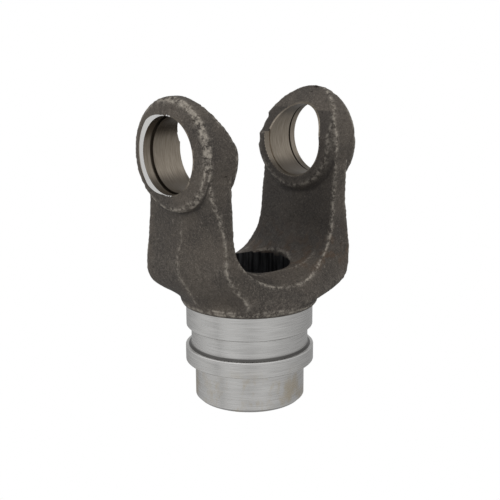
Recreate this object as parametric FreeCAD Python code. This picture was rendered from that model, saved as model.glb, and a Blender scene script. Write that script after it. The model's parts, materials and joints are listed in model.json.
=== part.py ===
"""Forged yoke of a universal joint, with a turned shank that is welded into a shaft tube.

One piece of forged steel.  Z is the axis of the shank, Z = 0 is the free end of the
spigot, and the cross of the joint swings about X in the two ears.  All sizes are in mm.

The forging is made in two dies that close slantwise across it, so its left and right
arms are nearly the same shape turned half a turn about Z, not mirror images: each has
one full outer corner and one relieved outer corner, and its faces lean a little.
"""
import FreeCAD
import Part
import os
from math import asin, cos, hypot, pi, radians, sin, tan

V = FreeCAD.Vector

# ---- turned shank, from the free end upwards ----
SPIGOT_RADIUS = 28.2
SPIGOT_LENGTH = 20.0
SPIGOT_CHAMFER = 1.5
COLLAR_RADIUS = 33.0
COLLAR_LENGTH = 8.2
COLLAR_CHAMFER = 0.4
NECK_RADIUS = 30.0
NECK_LENGTH = 10.6
NECK_FLARE = 1.2
BARREL_RADIUS = 32.5
BARREL_LENGTH = 12.4
HUB_BORE_RADIUS = 20.8

# ---- forged hub and saddle ----
HUB_RADIUS = 35.5
HUB_RIM_HEIGHT = 3.4
HUB_RIM_CHAMFER = 1.3
SADDLE_THICKNESS = 19.2
SADDLE_CORNER_RADIUS = 22.0

# ---- forged arms ----
ARM_HALF_WIDTH = 26.0
ARM_FULL_BACK = 42.6
ARM_FULL_FRONT = 44.0
ARM_CROWN = 44.6
ARM_RELIEVED = 41.8
ARM_BELLY = 26.1
ARM_TOP = 126.0
SHOULDER_FULL_BACK = 45.6
SHOULDER_FULL_FRONT = 47.4
SHOULDER_CROWN = 45.6
SHOULDER_RELIEVED = 35.6
SHOULDER_BELLY = 27.5
SHOULDER_HEIGHT = 22.0
SHOULDER_BLEND = 9.0
ARM_BLEND = 31.0
# corners (x, y) where the forging narrows to the hub, and its front and back belly
FLARE_HEIGHT = 11.0
FLARE_BACK_LEFT = (-43.6, 26.0)
FLARE_CROWN = (42.8, -2.5)
FLARE_FRONT_LEFT = (-30.6, -26.4)
FLARE_FRONT_RIGHT = (46.8, -26.0)
FLARE_BELLY = 30.0
TUCK_HEIGHT = 5.0
TUCK_BACK_LEFT = (-36.8, 25.0)
TUCK_CROWN = (39.0, -2.5)
TUCK_FRONT_LEFT = (-26.0, -27.0)
TUCK_FRONT_RIGHT = (43.2, -26.2)
TUCK_BELLY = 33.0

# ---- jaw between the arms ----
JAW_HALF_WIDTH = 30.4
JAW_OFFSET = 1.0
JAW_DRAFT_FRONT = 4.8
JAW_DRAFT_BACK = 1.4
JAW_LEAN_FRONT = 3.0
JAW_LEAN_BACK = 7.5
LAND_NEAR = 1.5
LAND_FAR = 9.4
SADDLE_RUNOFF_START = 21.0
SADDLE_RUNOFF_END = 29.0
SADDLE_RUNOFF_DROP = 5.0

# ---- ears ----
CROSS_HEIGHT = 130.3
EAR_RADIUS = 27.3
EAR_CROWN = 51.7
EAR_CROWN_OFFSET = 5.0
EAR_CROWN_RADIUS = 145.0
EAR_OUTER_CHAMFER = 1.6
LEFT_PAD = 28.2
LEFT_PAD_TILT = 0.5
LEFT_PAD_CHAMFER = 2.2
RIGHT_PAD = 29.4
RIGHT_PAD_TILT = 4.5
RIGHT_PAD_CHAMFER = 3.6
# the cross's swing clearance on the pads: step out, then (rise, out) at middle and top
SWING_START = 3.0
LEFT_SWING_STEP = 0.6
LEFT_SWING_MIDDLE = (11.5, 5.8)
LEFT_SWING_TOP = (25.5, 13.4)
RIGHT_SWING_STEP = 1.6
RIGHT_SWING_MIDDLE = (11.0, 5.0)
RIGHT_SWING_TOP = (25.0, 16.0)

# ---- machining of the ears ----
CROSS_BORE_RADIUS = 18.0
RING_HALF_SPAN = 45.0
RING_WIDTH = 1.5
RING_DEPTH = 1.1
LEAD_RADIUS = 18.5
FACE_HALF_SPAN = 50.5
FACING_RADIUS = 21.8
RELIEF_DEPTH = 0.4
RELIEF_HALF_SPAN = 31.4

# ---- heights that follow ----
COLLAR_BOTTOM = SPIGOT_LENGTH
COLLAR_TOP = COLLAR_BOTTOM + COLLAR_LENGTH
NECK_TOP = COLLAR_TOP + NECK_LENGTH
HUB_BOTTOM = NECK_TOP + BARREL_LENGTH
HUB_RIM_TOP = HUB_BOTTOM + HUB_RIM_HEIGHT
SADDLE_TOP = HUB_BOTTOM + SADDLE_THICKNESS
SHOULDER_TOP = HUB_BOTTOM + SHOULDER_HEIGHT


def half_turn(shape):
    """The same shape turned half a turn about the shank axis."""
    other = shape.copy()
    other.rotate(V(0, 0, 0), V(0, 0, 1), 180)
    return other


def edge(a, b, belly=None):
    """A straight edge, or an arc whose middle passes through belly."""
    if belly is None:
        return Part.LineSegment(a, b).toShape()
    return Part.Arc(a, belly, b).toShape()


def body_section(z, back_left, crown, front_left, front_right, belly):
    """One closed section of the forging at height z, with six corners.

    The right-hand crown and the back right corner are the left-hand crown and the
    front left corner turned half a turn about the shank axis.
    """
    points = [back_left, (-crown[0], crown[1]), front_left, front_right]
    a, b, c, d = [V(x, y, z) for x, y in points]
    e = V(-b.x, -b.y, z)
    f = V(-c.x, -c.y, z)
    return Part.Wire([
        edge(a, b),
        edge(b, c),
        edge(c, d, V(0, -belly, z)),
        edge(d, e),
        edge(e, f),
        edge(f, a, V(0, belly, z)),
    ])


def rim_section(z):
    """The round section at the hub's rim, split where the corners above run out."""
    angles = (137.0, 184.0, 225.5)
    corners = [radians(t) for t in angles] + [radians(t + 180.0) for t in angles]
    corners.append(corners[0] + 2 * pi)
    edges = []
    for start, end in zip(corners, corners[1:]):
        mid = (start + end) / 2
        points = [V(HUB_RADIUS * cos(t), HUB_RADIUS * sin(t), z) for t in (start, mid, end)]
        edges.append(Part.Arc(*points).toShape())
    return Part.Wire(edges)


def forged_body():
    w = ARM_HALF_WIDTH
    shoulder = (
        (-SHOULDER_FULL_BACK, w),
        (SHOULDER_CROWN, 0),
        (-SHOULDER_RELIEVED, -w),
        (SHOULDER_FULL_FRONT, -w),
        SHOULDER_BELLY,
    )
    arm = (
        (-ARM_FULL_BACK, w),
        (ARM_CROWN, 0),
        (-ARM_RELIEVED, -w),
        (ARM_FULL_FRONT, -w),
        ARM_BELLY,
    )
    # a quarter of the way from the shoulder's corners to the arm's
    above = [
        tuple(s + (a - s) / 4 for s, a in zip(low, high))
        for low, high in zip(shoulder[:-1], arm[:-1])
    ]
    tuck = (TUCK_BACK_LEFT, TUCK_CROWN, TUCK_FRONT_LEFT, TUCK_FRONT_RIGHT, TUCK_BELLY)
    flare = (FLARE_BACK_LEFT, FLARE_CROWN, FLARE_FRONT_LEFT, FLARE_FRONT_RIGHT, FLARE_BELLY)
    body = Part.makeLoft([
        rim_section(HUB_RIM_TOP),
        body_section(HUB_RIM_TOP + TUCK_HEIGHT, *tuck),
        body_section(HUB_RIM_TOP + FLARE_HEIGHT, *flare),
        body_section(SHOULDER_TOP, *shoulder),
        body_section(SHOULDER_TOP + SHOULDER_BLEND, *above, ARM_BELLY),
        body_section(SHOULDER_TOP + ARM_BLEND, *arm),
        body_section(ARM_TOP, *arm),
    ], True, False)
    rim = Part.makeCylinder(HUB_RADIUS, HUB_RIM_HEIGHT, V(0, 0, HUB_BOTTOM))
    lower_edge = [e for e in rim.Edges if e.BoundBox.ZMax < HUB_BOTTOM + 0.1]
    rim = rim.makeChamfer(HUB_RIM_CHAMFER, lower_edge)
    return body.fuse(rim)


def jaw_wall(y):
    """How far a wall of the jaw stands from the jaw's middle plane at this Y."""
    if y < LAND_NEAR:
        return JAW_HALF_WIDTH + (LAND_NEAR - y) * tan(radians(JAW_DRAFT_FRONT))
    if y > LAND_FAR:
        return JAW_HALF_WIDTH + (y - LAND_FAR) * tan(radians(JAW_DRAFT_BACK))
    return JAW_HALF_WIDTH


def jaw_section(y, drop=0.0):
    """Section of the jaw's space at this Y: leaning walls, round corners, flat floor."""
    lean = tan(radians(JAW_LEAN_FRONT if y <= LAND_NEAR else JAW_LEAN_BACK))
    slant = hypot(1.0, lean)
    r = SADDLE_CORNER_RADIUS + drop
    floor = SADDLE_TOP - drop
    level = SADDLE_TOP + SADDLE_CORNER_RADIUS + 6.0
    zc = floor + r
    top = CROSS_HEIGHT + 40.0
    wall = jaw_wall(y)
    xc = wall + (zc - level) * lean - r * slant
    turn = (pi / 2 - asin(lean / slant)) / 2
    upper = V(wall + (top - level) * lean, y, top)
    tangent = V(xc + r / slant, y, zc - r * lean / slant)
    middle = V(xc + r * sin(turn), y, zc - r * cos(turn))
    foot = V(xc, y, floor)
    right = [upper, tangent, middle, foot]
    left = [V(-p.x, p.y, p.z) for p in right]
    for p in right + left:
        p.x += JAW_OFFSET
    return Part.Wire([
        edge(right[0], right[1]),
        edge(right[1], right[3], right[2]),
        edge(right[3], left[3]),
        edge(left[3], left[1], left[2]),
        edge(left[1], left[0]),
        edge(left[0], right[0]),
    ])


def jaw_space():
    reach = ARM_HALF_WIDTH + 12.0
    slope = SADDLE_RUNOFF_DROP / (SADDLE_RUNOFF_END - SADDLE_RUNOFF_START)
    drop = (reach - SADDLE_RUNOFF_START) * slope
    stations = (-SADDLE_RUNOFF_START, LAND_NEAR, LAND_FAR, SADDLE_RUNOFF_START)
    sections = [jaw_section(-reach, drop)]
    sections += [jaw_section(y) for y in stations]
    sections.append(jaw_section(reach, drop))
    return Part.makeLoft(sections, True, True)


def ear(pad, tilt, pad_chamfer):
    """A right-hand ear boss, before machining: crowned outside, with a leaning pad inside."""
    r = EAR_RADIUS
    z0 = CROSS_HEIGHT
    start = pad - 4.0
    blank = Part.makeCylinder(r, EAR_CROWN - start, V(start, 0, z0), V(1, 0, 0))
    crown_centre = V(EAR_CROWN - EAR_CROWN_RADIUS, -EAR_CROWN_OFFSET, z0)
    crown = Part.makeSphere(EAR_CROWN_RADIUS, crown_centre, V(0, 1, 0))
    blank = blank.common(crown).Solids[0]
    # the pad's high side is towards +Y
    depth = 30.0
    side = 4 * r
    waste = Part.makeBox(depth, side, side, V(pad - depth, -side / 2, z0 - side / 2))
    waste.rotate(V(pad, 0, z0), V(0, 0, 1), tilt)
    blank = blank.cut(waste).Solids[0]
    middle = (pad + EAR_CROWN) / 2
    outer_rim = [e for e in blank.Edges if e.BoundBox.XMin > middle]
    blank = blank.makeChamfer(EAR_OUTER_CHAMFER, outer_rim)
    inner_rim = [e for e in blank.Edges if e.BoundBox.XMax < middle]
    return blank.makeChamfer(pad_chamfer, inner_rim)


def swing_clearance(pad, middle, top):
    """What is taken off the inner side of a right-hand ear for the cross to swing."""
    w = ARM_HALF_WIDTH + 10.0
    a = V(pad, -w, CROSS_HEIGHT + SWING_START)
    b = a + V(middle[1], 0, middle[0])
    c = a + V(top[1], 0, top[0])
    d = c + V(8, 0, 8)
    e = V(0, -w, d.z)
    f = V(0, -w, a.z)
    wire = Part.Wire([edge(a, c, b), edge(c, d), edge(d, e), edge(e, f), edge(f, a)])
    return Part.Face(wire).extrude(V(0, 2 * w, 0))


def shank():
    """Turned shank, as one profile about Z."""
    f = NECK_FLARE
    c = SPIGOT_CHAMFER
    k = COLLAR_CHAMFER
    p = [
        V(0, 0, 0),
        V(SPIGOT_RADIUS - c, 0, 0),
        V(SPIGOT_RADIUS, 0, c),
        V(SPIGOT_RADIUS, 0, COLLAR_BOTTOM),
        V(COLLAR_RADIUS - k, 0, COLLAR_BOTTOM),
        V(COLLAR_RADIUS, 0, COLLAR_BOTTOM + k),
        V(COLLAR_RADIUS, 0, COLLAR_TOP - k),
        V(COLLAR_RADIUS - k, 0, COLLAR_TOP),
        V(NECK_RADIUS + f, 0, COLLAR_TOP),
        V(NECK_RADIUS, 0, COLLAR_TOP + f),
        V(NECK_RADIUS, 0, NECK_TOP),
        V(BARREL_RADIUS - k, 0, NECK_TOP),
        V(BARREL_RADIUS, 0, NECK_TOP + k),
        V(BARREL_RADIUS, 0, HUB_RIM_TOP),
        V(0, 0, HUB_RIM_TOP),
        V(0, 0, 0),
    ]
    edges = [edge(a, b) for a, b in zip(p, p[1:])]
    return Part.Face(Part.Wire(edges)).revolve(V(0, 0, 0), V(0, 0, 1), 360)


def turned_cut(radius, start, end):
    """A bore step in the right-hand ear, from one distance out along X to another."""
    return Part.makeCylinder(radius, end - start, V(start, 0, CROSS_HEIGHT), V(1, 0, 0))


def ear_machining():
    """Everything bored and faced in the right-hand ear."""
    out = EAR_CROWN + 10.0
    bore = turned_cut(CROSS_BORE_RADIUS, 0.0, out)
    lead = turned_cut(LEAD_RADIUS, RING_HALF_SPAN + RING_WIDTH / 2, out)
    groove = turned_cut(CROSS_BORE_RADIUS + RING_DEPTH, RING_HALF_SPAN, RING_HALF_SPAN + RING_WIDTH)
    facing = turned_cut(FACING_RADIUS, FACE_HALF_SPAN, out)
    relief = turned_cut(CROSS_BORE_RADIUS + RELIEF_DEPTH, 0.0, RELIEF_HALF_SPAN)
    return bore.fuse([lead, groove, facing, relief])


def yoke():
    body = forged_body().cut(jaw_space())
    right = ear(RIGHT_PAD, RIGHT_PAD_TILT, RIGHT_PAD_CHAMFER)
    left = half_turn(ear(LEFT_PAD, LEFT_PAD_TILT, LEFT_PAD_CHAMFER))
    body = body.fuse([right, left, shank()])
    swing = swing_clearance(RIGHT_PAD + RIGHT_SWING_STEP, RIGHT_SWING_MIDDLE, RIGHT_SWING_TOP)
    left_swing = swing_clearance(LEFT_PAD + LEFT_SWING_STEP, LEFT_SWING_MIDDLE, LEFT_SWING_TOP)
    cuts = ear_machining()
    hub_bore = Part.makeCylinder(HUB_BORE_RADIUS, SADDLE_TOP + 30.0, V(0, 0, -5.0))
    body = body.cut([swing, half_turn(left_swing), cuts, half_turn(cuts), hub_bore])
    return body.removeSplitter()


os.makedirs("parts", exist_ok=True)
shape = yoke()
solid = shape.Solids[0]
solid.exportStep("parts/forged_yoke.step")
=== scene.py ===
"""Looks of the forged yoke: a blasted, as-forged body with a turned shank and bored ears.

The body is rebuilt from the CAD mesh as a finer skin.  Its forged faces get rounded
edges and the uneven relief of a hot forging, and its machined faces stay exact.
Lengths are in metres unless a name ends in _mm.
"""
import json
import math

import bmesh
import bpy
import numpy as np
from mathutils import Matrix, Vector, noise


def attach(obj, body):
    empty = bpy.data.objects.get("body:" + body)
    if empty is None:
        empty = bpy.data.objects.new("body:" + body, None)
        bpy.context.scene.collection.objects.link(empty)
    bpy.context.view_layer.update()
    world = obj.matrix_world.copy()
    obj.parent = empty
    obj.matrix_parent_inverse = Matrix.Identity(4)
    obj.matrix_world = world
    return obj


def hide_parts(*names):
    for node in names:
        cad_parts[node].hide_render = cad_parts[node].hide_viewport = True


MM = 0.001
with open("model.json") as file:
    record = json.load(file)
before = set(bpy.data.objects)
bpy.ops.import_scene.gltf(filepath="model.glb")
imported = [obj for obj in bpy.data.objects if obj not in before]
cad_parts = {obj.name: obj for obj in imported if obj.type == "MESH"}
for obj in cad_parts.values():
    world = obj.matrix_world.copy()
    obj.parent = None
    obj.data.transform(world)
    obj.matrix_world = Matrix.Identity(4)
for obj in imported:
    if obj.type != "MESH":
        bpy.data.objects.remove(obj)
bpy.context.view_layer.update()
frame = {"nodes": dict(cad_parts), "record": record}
node = frame["nodes"]["forged_yoke"]

# ---- places on the part, from the record's mounts ----
mounts = {m["name"]: m for m in frame["record"]["mounts"]}
CROSS_Z = mounts["cross_bore"]["pos_m"][2]
CROSS_R = mounts["cross_bore"]["dims"]["r_mm"] * MM
RING_X = mounts["cross_bore"]["dims"]["length_mm"] * MM / 2
HUB_BORE_R = mounts["hub_bore"]["dims"]["r_mm"] * MM

# ---- places with no mount of their own, as the part's source has them ----
COLLAR_TOP = 28.2 * MM
HUB_BOTTOM = 51.2 * MM
SADDLE_TOP = 70.4 * MM
EAR_LEVEL = SADDLE_TOP + 10 * MM
FACING_X = 50.5 * MM
FACING_R = 21.8 * MM
RING_WIDTH = 1.5 * MM
STEP_DEPTH = 1.3 * MM
JAW_REACH = 37 * MM
NEAR = 0.05 * MM


def srgb(code):
    """A hex colour as linear RGBA."""
    values = [int(code[i:i + 2], 16) / 255 for i in (1, 3, 5)]
    linear = [v / 12.92 if v <= 0.04045 else ((v + 0.055) / 1.055) ** 2.4 for v in values]
    return (*linear, 1.0)


# ---------------------------------------------------------------- forged skin
EDGE_LIMITS = (12 * MM, 6 * MM, 3 * MM, 1.5 * MM)
SPLITS_PER_LIMIT = 3
MERGE_DISTANCE = 1e-6
SHARP_ANGLE = math.radians(32)
EDGE_ROUND_STEPS = 5
SWELL_MM = 0.28
PIT_MM = 0.14
BURR_MM = 0.3
EDGE_MARK_MM = 0.28
LEDGE_STEPS = 30
# above this share of its axis, a machined face's normal belongs to a flat or a cone
FLAT_SHARE = 0.3


def is_machined(co):
    """True where a tool has cut the forging: the shank, the bores, their steps and facings."""
    if co.z < HUB_BOTTOM + NEAR:
        return True
    across = math.hypot(co.y, co.z - CROSS_Z)
    if across < CROSS_R + STEP_DEPTH and abs(co.x) > CROSS_R:
        return True
    if across < FACING_R + NEAR and abs(co.x) > FACING_X - NEAR:
        return True
    radius = math.hypot(co.x, co.y)
    return radius < HUB_BORE_R + NEAR and co.z < SADDLE_TOP + MM


def refined(mesh):
    """The mesh with its long edges split, so that relief and rounding have points to move."""
    bm = bmesh.new()
    bm.from_mesh(mesh)
    bmesh.ops.remove_doubles(bm, verts=bm.verts, dist=MERGE_DISTANCE)
    bmesh.ops.triangulate(bm, faces=bm.faces)
    for limit in EDGE_LIMITS:
        for _ in range(SPLITS_PER_LIMIT):
            long_edges = [
                e for e in bm.edges
                if e.calc_length() > limit
                and not (is_machined(e.verts[0].co) and is_machined(e.verts[1].co))
            ]
            if not long_edges:
                break
            bmesh.ops.subdivide_edges(bm, edges=long_edges, cuts=1, use_grid_fill=False)
            bmesh.ops.triangulate(bm, faces=[f for f in bm.faces if len(f.verts) > 3])
    return bm


def forged_mask(bm):
    """How freely each point may move: 0 on machined faces and 1 on forged ones."""
    return np.array([not is_machined(v.co) for v in bm.verts], float)


def round_edges(bm, free, steps):
    """Relaxes the forged points, which rounds the edges between forged faces."""
    co = np.array([v.co for v in bm.verts])
    pairs = np.array([[e.verts[0].index, e.verts[1].index] for e in bm.edges])
    count = np.zeros(len(co))
    np.add.at(count, pairs[:, 0], 1)
    np.add.at(count, pairs[:, 1], 1)
    for _ in range(steps):
        total = np.zeros_like(co)
        np.add.at(total, pairs[:, 0], co[pairs[:, 1]])
        np.add.at(total, pairs[:, 1], co[pairs[:, 0]])
        mean = total / count[:, None]
        co += 0.5 * free[:, None] * (mean - co)
    return co


def relief(point):
    """Height of the forged surface at a point, in mm: slow swells and shallow pits."""
    p = Vector(point) / MM
    swell = noise.noise(p / 9.0) + 0.5 * noise.noise(p / 4.0 + Vector((7, 3, 1)))
    pit = min(0.0, noise.noise(p / 1.7 + Vector((3, 9, 4))) + 0.15)
    return SWELL_MM * (swell - 0.9) * 0.5 + PIT_MM * pit


def on_ledge(co):
    """True round the swing ledge on the right ear's inner side, at its far edge."""
    low, high = CROSS_Z - 4 * MM, CROSS_Z + 12 * MM
    return 26 * MM < co.x < 40 * MM and co.y > 4 * MM and low < co.z < high


def soften_ledge(bm, co, free):
    """Blends the swing ledge away on the far side of the right ear, as forged there."""
    near = np.array([on_ledge(v.co) for v in bm.verts], float)
    for v, place in zip(bm.verts, co):
        v.co = place
    return round_edges(bm, near * free, LEDGE_STEPS)


def exact_normals(mesh):
    """Smooth normals on forged faces, and the true cylinder or plane's on machined ones."""
    normals = [Vector(c.vector) for c in mesh.corner_normals]
    for face in mesh.polygons:
        points = [mesh.vertices[i].co for i in face.vertices]
        if not all(is_machined(p) for p in points):
            continue
        on_ear = face.center.z > EAR_LEVEL
        along = abs(face.normal.x if on_ear else face.normal.z)
        for corner, p in zip(face.loop_indices, points):
            if along > FLAT_SHARE:
                normals[corner] = face.normal.copy()
            else:
                out = Vector((0, p.y, p.z - CROSS_Z)) if on_ear else Vector((p.x, p.y, 0))
                if out.dot(face.normal) < 0:
                    out = -out
                normals[corner] = out.normalized()
    mesh.normals_split_custom_set(normals)


def wear_highlight_and_shade_marks(bm, before, after, free):
    """Per-point marks: how much an edge stood out, used for wear and a painted highlight, and how
    far a corner sank in, used for painted shade.
    """
    moved = np.array([
        (a - b).dot(np.array(v.normal)) / MM * f
        for v, b, a, f in zip(bm.verts, before, after, free)
    ])
    return np.clip(-moved / EDGE_MARK_MM, 0, 1), np.clip(moved / EDGE_MARK_MM, 0, 1)


def painted_jaw_shade(v):
    """Painted shade: 1 on the faces of the arms and saddle that look into the opening between the
    arms, where the colour is darkened.
    """
    if abs(v.co.x) > JAW_REACH:
        return 0.0
    facing = -v.normal.x * math.copysign(1, v.co.x)
    return min(1.0, max(0.0, (facing - 0.35) / 0.4))


def add_mark(mesh, name, values):
    mark = mesh.attributes.new(name, "FLOAT", "POINT")
    mark.data.foreach_set("value", np.array(values, np.float32))


def make_skin():
    bm = refined(node.data)
    bm.verts.index_update()
    bm.normal_update()
    free = forged_mask(bm)
    before = np.array([v.co for v in bm.verts])
    co = round_edges(bm, free, EDGE_ROUND_STEPS)
    # the edge mark is partly wear and partly a painted highlight in the colour; the corner mark is
    # painted shade
    worn_and_highlit, corner_shade = wear_highlight_and_shade_marks(bm, before, co, free)
    co = soften_ledge(bm, co, free)
    for v, place in zip(bm.verts, co):
        v.co = place
    bm.normal_update()
    # painted shade mark: faces that look into the opening between the arms
    jaw_shade = [painted_jaw_shade(v) for v in bm.verts]
    for v, f, w in zip(bm.verts, free, worn_and_highlit):
        if f > 0:
            burr = w * BURR_MM * noise.noise(v.co / (1.6 * MM))
            v.co += v.normal * ((relief(v.co) + burr) * MM * f)
    mesh = bpy.data.meshes.new("forged_skin")
    bm.to_mesh(mesh)
    bm.free()
    add_mark(mesh, "worn_and_highlit", worn_and_highlit)
    add_mark(mesh, "corner_shade", corner_shade)
    add_mark(mesh, "jaw_shade", jaw_shade)
    mesh.shade_smooth()
    mesh.set_sharp_from_angle(angle=SHARP_ANGLE)
    exact_normals(mesh)
    skin = bpy.data.objects.new("forged_skin", mesh)
    bpy.context.scene.collection.objects.link(skin)
    return skin


# ---------------------------------------------------------------- materials
class Nodes:
    """Short calls for building a node tree."""

    def __init__(self, name):
        self.material = bpy.data.materials.new(name)
        self.material.use_nodes = True
        self.tree = self.material.node_tree
        self.tree.nodes.clear()
        self.place = self.add("ShaderNodeTexCoord").outputs["Object"]

    def add(self, kind, **settings):
        made = self.tree.nodes.new(kind)
        for key, value in settings.items():
            setattr(made, key, value)
        return made

    def put(self, socket, value):
        if isinstance(value, bpy.types.NodeSocket):
            self.tree.links.new(value, socket)
        else:
            socket.default_value = value

    def math(self, operation, a, b=0.0, clamp=False):
        made = self.add("ShaderNodeMath", operation=operation, use_clamp=clamp)
        self.put(made.inputs[0], a)
        self.put(made.inputs[1], b)
        return made.outputs[0]

    def scaled(self, x, y, z):
        made = self.add("ShaderNodeMapping")
        self.put(made.inputs["Vector"], self.place)
        self.put(made.inputs["Scale"], (x, y, z))
        return made.outputs[0]

    def noise(self, size_mm, detail=3.0, rough=0.55, vector=None):
        made = self.add("ShaderNodeTexNoise")
        self.put(made.inputs["Vector"], vector or self.place)
        self.put(made.inputs["Scale"], 1.0 / (size_mm * MM))
        self.put(made.inputs["Detail"], detail)
        self.put(made.inputs["Roughness"], rough)
        return made.outputs["Fac"]

    def ramp(self, value, low, high):
        made = self.add("ShaderNodeMapRange", interpolation_type="SMOOTHSTEP")
        self.put(made.inputs["Value"], value)
        self.put(made.inputs["From Min"], low)
        self.put(made.inputs["From Max"], high)
        return made.outputs[0]

    def mix(self, factor, a, b):
        made = self.add("ShaderNodeMix", data_type="RGBA")
        self.put(made.inputs[0], factor)
        self.put(made.inputs[6], a)
        self.put(made.inputs[7], b)
        return made.outputs[2]

    def mix_value(self, factor, a, b):
        made = self.add("ShaderNodeMix", data_type="FLOAT")
        self.put(made.inputs[0], factor)
        self.put(made.inputs[2], a)
        self.put(made.inputs[3], b)
        return made.outputs[0]

    def axis(self):
        made = self.add("ShaderNodeSeparateXYZ")
        self.put(made.inputs[0], self.place)
        return made.outputs

    def mark(self, name):
        """One of the skin's own per-point marks."""
        return self.add("ShaderNodeAttribute", attribute_name=name).outputs["Fac"]

    def bump(self, height, depth_mm):
        made = self.add("ShaderNodeBump")
        self.put(made.inputs["Height"], height)
        self.put(made.inputs["Distance"], depth_mm * MM)
        return made.outputs[0]

    def finish(self, **inputs):
        shader = self.add("ShaderNodeBsdfPrincipled")
        for key, value in inputs.items():
            self.put(shader.inputs[key.replace("_", " ")], value)
        out = self.add("ShaderNodeOutputMaterial")
        self.tree.links.new(shader.outputs[0], out.inputs["Surface"])
        return self.material


def forged_steel():
    """Hot-forged, shot-blasted steel: dull gray-brown scale with a fine bright grain."""
    n = Nodes("forged_steel")
    x, _, z = n.axis()
    wide = n.noise(22, 3)
    grain = n.noise(0.6, 4, 0.75)
    fleck = n.noise(1.5, 4, 0.7)
    colour = n.mix(n.ramp(wide, 0.35, 0.68), srgb("#3c3733"), srgb("#524b44"))
    colour = n.mix(n.math("MULTIPLY", n.ramp(grain, 0.45, 0.70), 0.6), colour, srgb("#7d756a"))
    colour = n.mix(n.math("MULTIPLY", n.ramp(fleck, 0.60, 0.72), 0.55), colour, srgb("#999084"))
    colour = n.mix(n.math("MULTIPLY", n.ramp(fleck, 0.44, 0.32), 0.5), colour, srgb("#292522"))
    # rust bloom on the saddle, near the right arm
    saddle = n.math("MULTIPLY", n.ramp(z, 92 * MM, 76 * MM), n.ramp(z, 66 * MM, 72 * MM))
    saddle = n.math("MULTIPLY", saddle, n.ramp(x, 0.0, 22 * MM))
    rust = n.math("MULTIPLY", n.ramp(n.noise(5, 3), 0.45, 0.65), saddle)
    colour = n.mix(n.math("MULTIPLY", rust, 0.6), colour, srgb("#54412f"))
    # edges are rubbed bright by the blast and by handling, and the same brightening paints the
    # highlight that rounded edges catch: partly wear, partly painted highlight
    worn_and_highlit = n.math("MULTIPLY", n.mark("worn_and_highlit"), n.ramp(n.noise(2.4, 4, 0.7), 0.40, 0.60))
    colour = n.mix(n.math("MULTIPLY", worn_and_highlit, 0.75), colour, srgb("#b5ada1"))
    # painted shade: concave corners are darkened in the colour
    colour = n.mix(n.math("MULTIPLY", n.mark("corner_shade"), 0.6), colour, srgb("#1f1c1a"))
    # painted shade: the faces that look into the opening between the arms are darkened in the
    # colour
    colour = n.mix(n.math("MULTIPLY", n.mark("jaw_shade"), 0.5), colour, srgb("#201c1a"))
    height = n.math("ADD", n.math("MULTIPLY", grain, 0.6), fleck)
    return n.finish(
        Base_Color=colour,
        Metallic=0.35,
        Roughness=n.mix_value(n.ramp(fleck, 0.3, 0.7), 0.68, 0.5),
        Normal=n.bump(height, 0.3),
    )


def turned_steel():
    """Lathe-turned steel: bright, with fine feed lines round Z and a few dry oil stains."""
    n = Nodes("turned_steel")
    x, y, z = n.axis()
    radius = n.math("SQRT", n.math("ADD", n.math("MULTIPLY", x, x), n.math("MULTIPLY", y, y)))
    lines = n.noise(0.3, 2, 0.6, n.scaled(0.02, 0.02, 1.0))
    stain = n.noise(9, 4, 0.65, n.scaled(1.0, 1.0, 0.6))
    colour = n.mix(n.ramp(lines, 0.3, 0.7), srgb("#c9c8c6"), srgb("#e2e1df"))
    low_down = n.ramp(z, COLLAR_TOP, 8 * MM)
    stained = n.math("MULTIPLY", n.ramp(stain, 0.46, 0.64), low_down)
    colour = n.mix(n.math("MULTIPLY", stained, 0.55), colour, srgb("#c2b190"))
    # painted shade: a dark line in the corner where the neck meets the collar, standing in for the
    # shadow in the undercut
    below = n.ramp(z, COLLAR_TOP + 1.5 * MM, COLLAR_TOP + 0.8 * MM)
    above = n.ramp(z, COLLAR_TOP - 0.2 * MM, COLLAR_TOP - 0.05 * MM)
    corner = n.math("MULTIPLY", below, above)
    corner = n.math("MULTIPLY", corner, n.ramp(radius, 31.6 * MM, 31.2 * MM))
    colour = n.mix(n.math("MULTIPLY", corner, 0.85), colour, srgb("#26221f"))
    return n.finish(
        Base_Color=colour,
        Metallic=1.0,
        Roughness=n.mix_value(lines, 0.22, 0.34),
        Normal=n.bump(lines, 0.01),
    )


def bored_steel():
    """Fine-bored steel: satin, brushed round the bore, warm gray in reflection."""
    n = Nodes("bored_steel")
    x, _, z = n.axis()
    rings = n.noise(0.35, 3, 0.65, n.scaled(1.0, 0.04, 0.04))
    colour = n.mix(n.ramp(rings, 0.3, 0.7), srgb("#8d8376"), srgb("#b0a698"))
    # painted shade: the ring groove is darkened in the colour
    ring_middle = RING_X + RING_WIDTH / 2
    off = n.math("ABSOLUTE", n.math("SUBTRACT", n.math("ABSOLUTE", x), ring_middle))
    groove_shade = n.ramp(off, 0.95 * MM, 0.7 * MM)
    colour = n.mix(n.math("MULTIPLY", groove_shade, 0.7), colour, srgb("#2e2a27"))
    # painted shade: the bores' upper and lower parts are darkened in the colour, standing in for
    # the dark forging they reflect across the opening
    height = n.math("ABSOLUTE", n.math("SUBTRACT", z, CROSS_Z))
    painted_bore_shade = n.math("MULTIPLY", n.ramp(height, 9 * MM, 15 * MM), 0.6)
    colour = n.mix(painted_bore_shade, colour, srgb("#3a3530"))
    return n.finish(
        Base_Color=colour,
        Metallic=1.0,
        Roughness=n.mix_value(rings, 0.28, 0.42),
        Normal=n.bump(rings, 0.008),
    )


def faced_steel():
    """Freshly faced steel on the ear: almost white where it catches the light."""
    n = Nodes("faced_steel")
    return n.finish(Base_Color=srgb("#f0efed"), Metallic=1.0, Roughness=0.3)


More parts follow.
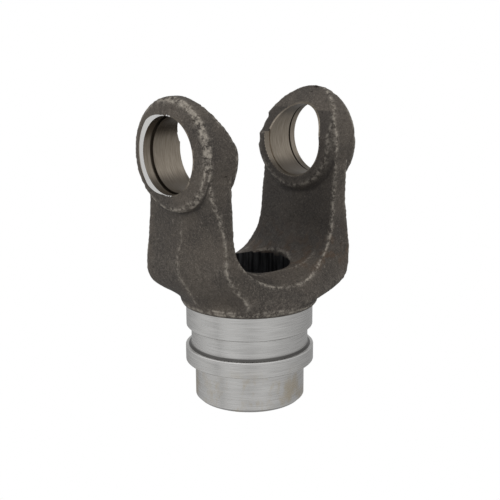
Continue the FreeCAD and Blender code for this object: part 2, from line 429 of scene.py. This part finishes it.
def hub_bore_steel():
    """Rough-bored, oiled steel inside the hub: dark and glossy, streaked along Z."""
    n = Nodes("hub_bore_steel")
    streak = n.noise(2.5, 3, 0.6, n.scaled(1.0, 1.0, 0.08))
    colour = n.mix(n.ramp(streak, 0.35, 0.7), srgb("#3a3a3c"), srgb("#7c7d80"))
    return n.finish(Base_Color=colour, Metallic=0.9, Roughness=0.3)


FORGED, TURNED, BORED, FACED, HUB_BORE = range(5)


def paint(skin):
    """Gives every face of the skin the finish that its place on the part calls for."""
    for make in (forged_steel, turned_steel, bored_steel, faced_steel, hub_bore_steel):
        skin.data.materials.append(make())
    for face in skin.data.polygons:
        c = face.center
        normal = face.normal
        radius = math.hypot(c.x, c.y)
        corners = [skin.data.vertices[i].co for i in face.vertices]
        if not all(is_machined(p) for p in corners):
            face.material_index = FORGED
        elif c.z < EAR_LEVEL and radius < HUB_BORE_R + NEAR and abs(normal.z) < 0.5:
            face.material_index = HUB_BORE
        elif c.z < HUB_BOTTOM + MM:
            face.material_index = TURNED
        elif abs(normal.x) > 0.8 and abs(c.x) > FACING_X - 0.2 * MM:
            face.material_index = FACED
        else:
            face.material_index = BORED


skin = make_skin()
paint(skin)
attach(skin, "root")
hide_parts("forged_yoke")

# ---------------------------------------------------------------- camera, light and stage
AZIMUTH = math.radians(41.593)
ELEVATION = math.radians(13.881)
ROLL = math.radians(-0.3515)
DISTANCE = 497.95 * MM
SENSOR_MM = 36.0
FOCAL_SHARE = 1.96086
AIM = Vector((0, 0, 77.06 * MM))
SIDE_STEP = 0.534 * MM


def add_camera():
    """The view from in front, to the left and a little above."""
    back = Vector((
        -math.sin(AZIMUTH) * math.cos(ELEVATION),
        -math.cos(AZIMUTH) * math.cos(ELEVATION),
        math.sin(ELEVATION),
    ))
    right = Vector((math.cos(AZIMUTH), -math.sin(AZIMUTH), 0))
    up = back.cross(right)
    across = right * math.cos(ROLL) + up * math.sin(ROLL)
    above = up * math.cos(ROLL) - right * math.sin(ROLL)
    data = bpy.data.cameras.new("camera")
    data.sensor_width = SENSOR_MM
    data.lens = SENSOR_MM * FOCAL_SHARE
    camera = bpy.data.objects.new("camera", data)
    bpy.context.scene.collection.objects.link(camera)
    spot = AIM + right * SIDE_STEP + back * DISTANCE
    matrix = camera.matrix_world.copy()
    for row in range(3):
        matrix[row][0] = across[row]
        matrix[row][1] = above[row]
        matrix[row][2] = back[row]
        matrix[row][3] = spot[row]
    camera.matrix_world = matrix
    bpy.context.scene.camera = camera


def add_area(name, place, aim, size, power):
    """A soft white light that lights the part but isn't mirrored in its bright metal."""
    data = bpy.data.lights.new(name, "AREA")
    data.shape = "RECTANGLE"
    data.size, data.size_y = size
    data.energy = power
    light = bpy.data.objects.new(name, data)
    light.location = place
    light.rotation_euler = (Vector(aim) - Vector(place)).to_track_quat("-Z", "Y").to_euler()
    bpy.context.scene.collection.objects.link(light)
    light.visible_glossy = False


# brightness of the white room by direction, once round from -X through -Y
ROOM_STOPS = (
    (0.00, 0.92),
    (0.04, 0.98),
    (0.13, 0.78),
    (0.21, 0.92),
    (0.34, 0.70),
    (0.49, 0.52),
    (0.72, 0.50),
    (0.86, 0.84),
    (0.945, 0.88),
    (0.965, 0.58),
    (0.985, 0.90),
)
ROOM_STRENGTH = 0.95
# how the room grows brighter from its floor to its ceiling
ROOM_RISE = (("From Min", -0.6), ("From Max", 0.9), ("To Min", 0.62), ("To Max", 1.12))


def white_world():
    """A white room: seen white by the camera, with upright light and dark bands round the part."""
    world = bpy.data.worlds.new("white_room")
    bpy.context.scene.world = world
    world.use_nodes = True
    tree = world.node_tree
    tree.nodes.clear()

    def math_node(operation, a, b):
        made = tree.nodes.new("ShaderNodeMath")
        made.operation = operation
        for socket, value in zip(made.inputs, (a, b)):
            if isinstance(value, bpy.types.NodeSocket):
                tree.links.new(value, socket)
            else:
                socket.default_value = value
        return made.outputs[0]

    place = tree.nodes.new("ShaderNodeTexCoord")
    split = tree.nodes.new("ShaderNodeSeparateXYZ")
    tree.links.new(place.outputs["Generated"], split.inputs[0])
    turn = math_node("ARCTAN2", split.outputs["Y"], split.outputs["X"])
    share = math_node("ADD", math_node("DIVIDE", turn, 2 * math.pi), 0.5)
    ramp = tree.nodes.new("ShaderNodeValToRGB")
    tree.links.new(share, ramp.inputs[0])
    stops = ramp.color_ramp.elements
    while len(stops) < len(ROOM_STOPS):
        stops.new(0.5)
    for stop, (position, value) in zip(stops, ROOM_STOPS):
        stop.position = position
        stop.color = (value, value, value, 1)
    rise = tree.nodes.new("ShaderNodeMapRange")
    tree.links.new(split.outputs["Z"], rise.inputs["Value"])
    for name, value in ROOM_RISE:
        rise.inputs[name].default_value = value
    room = tree.nodes.new("ShaderNodeBackground")
    tree.links.new(ramp.outputs[0], room.inputs["Color"])
    strength = math_node("MULTIPLY", rise.outputs[0], ROOM_STRENGTH)
    tree.links.new(strength, room.inputs["Strength"])
    path = tree.nodes.new("ShaderNodeLightPath")
    seen = tree.nodes.new("ShaderNodeBackground")
    seen.inputs["Color"].default_value = (1, 1, 1, 1)
    mix = tree.nodes.new("ShaderNodeMixShader")
    out = tree.nodes.new("ShaderNodeOutputWorld")
    tree.links.new(path.outputs["Is Camera Ray"], mix.inputs[0])
    tree.links.new(room.outputs[0], mix.inputs[1])
    tree.links.new(seen.outputs[0], mix.inputs[2])
    tree.links.new(mix.outputs[0], out.inputs["Surface"])


add_camera()
white_world()
add_area("key", (-0.75, -0.05, 0.65), (0, 0, 0.09), (0.5, 0.5), 3.0)
add_area("side", (0.7, -0.6, 0.35), (0, 0, 0.08), (0.35, 0.7), 2.5)

scene = bpy.context.scene
scene.view_settings.view_transform = "Standard"
